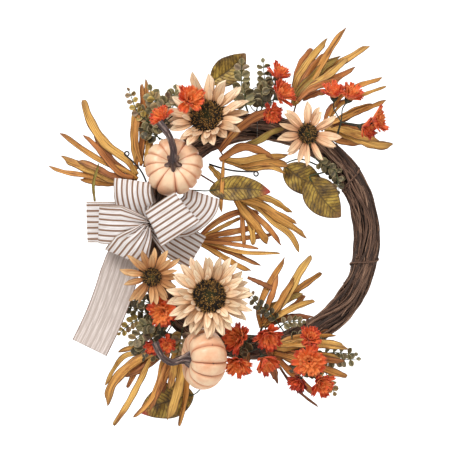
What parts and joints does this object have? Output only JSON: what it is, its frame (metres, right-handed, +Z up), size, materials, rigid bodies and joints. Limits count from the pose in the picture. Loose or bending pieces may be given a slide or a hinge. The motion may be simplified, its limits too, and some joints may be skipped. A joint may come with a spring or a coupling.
{
  "type": "harvest door wreath",
  "caption": "Grapevine ring wreath dressed with pumpkins, sunflowers, daisies, dried strap leaves and a striped ribbon bow, hung by a wire loop.",
  "frame": {"origin": "where a door hook carries the hanging loop, inside its top", "axes": "+Z up, +Y towards the door that the wreath hangs on, +X to the right for a person facing the door"},
  "size_m": [0.5309, 0.1302, 0.6122],
  "materials": {
    "vine": "rough dry grapevine",
    "wire": "dark lacquered floral wire",
    "ribbon": "woven ticking, cream with brown stripes",
    "cream_petal": "veined cloth petals",
    "peach_petal": "veined cloth petals",
    "seed_disc": "flocked seed head",
    "green_plastic": "moulded calyx on coated wire",
    "pumpkin": "satin painted foam",
    "pumpkin_stem": "painted woody stem",
    "magnolia_leaf": "coated cloth leaf with printed veins",
    "husk_leaf": "dyed strap leaves on wire",
    "eucalyptus": "dusty cloth leaves on wire",
    "daisy": "dyed cloth petals on wire"
  },
  "bodies": {
    "wreath": {"core_vines": "vine", "outer_vine_1": "vine", "outer_vine_2": "vine", "outer_vine_3": "vine", "hanger_band": "wire", "husk_spray_left": "husk_leaf", "husk_spray_upper_left": "husk_leaf", "husk_spray_top_right": "husk_leaf", "husk_spray_right": "husk_leaf", "husk_spray_ring_top": "husk_leaf", "husk_spray_centre": "husk_leaf", "husk_spray_centre_left": "husk_leaf", "husk_spray_lower_centre": "husk_leaf", "husk_spray_lower_right": "husk_leaf", "husk_spray_lower_left": "husk_leaf", "eucalyptus_upper_left": "eucalyptus", "eucalyptus_top": "eucalyptus", "eucalyptus_left": "eucalyptus", "eucalyptus_lower_right": "eucalyptus", "eucalyptus_lower_centre": "eucalyptus", "magnolia_leaf_top": "magnolia_leaf", "magnolia_leaf_centre": "magnolia_leaf", "magnolia_leaf_right_low": "magnolia_leaf", "magnolia_leaf_right_high": "magnolia_leaf", "magnolia_leaf_bottom": "magnolia_leaf", "tendril_left": "wire", "tendril_centre": "wire", "bow_tie_wire": "wire", "bow_loop_top_left": "ribbon", "bow_loop_left": "ribbon", "bow_loop_left_back": "ribbon", "bow_loop_lower_left": "ribbon", "bow_loop_front": "ribbon", "bow_loop_right": "ribbon", "bow_loop_lower_right": "ribbon", "bow_tail_root": "ribbon", "sunflower_upper_left_petals": "cream_petal", "sunflower_upper_left_disc": "seed_disc", "sunflower_upper_left_calyx": "green_plastic", "sunflower_upper_right_petals": "peach_petal", "sunflower_upper_right_disc": "seed_disc", "sunflower_upper_right_calyx": "green_plastic", "sunflower_left_petals": "peach_petal", "sunflower_left_disc": "seed_disc", "sunflower_left_calyx": "green_plastic", "sunflower_lower_petals": "cream_petal", "sunflower_lower_disc": "seed_disc", "sunflower_lower_calyx": "green_plastic", "pumpkin_upper_body": "pumpkin", "pumpkin_upper_stem": "pumpkin_stem", "pumpkin_lower_body": "pumpkin", "pumpkin_lower_stem": "pumpkin_stem", "daisy_spray_upper_left": "daisy", "daisy_spray_top": "daisy", "daisy_spray_right": "daisy", "daisy_spray_left": "daisy", "daisy_spray_bottom": "daisy", "daisy_spray_lower_right": "daisy"},
    "hanging_loop": {"hanging_loop": "wire"},
    "bow_tail": {"bow_tail": "ribbon"}
  },
  "joints": [
    {"name": "hanging_loop_swing", "type": "hinge", "parent": "wreath", "child": "hanging_loop", "pos_m": [0, 0.00389, -0.037], "axis": [1, 0, 0], "range_deg": [-140, 0]},
    {"name": "bow_tail_swing", "type": "hinge", "parent": "wreath", "child": "bow_tail", "pos_m": [-0.205, -0.03611, -0.2659], "axis": [-0.9336, 0, 0.3584], "range_deg": [-4, 25]}
  ]
}
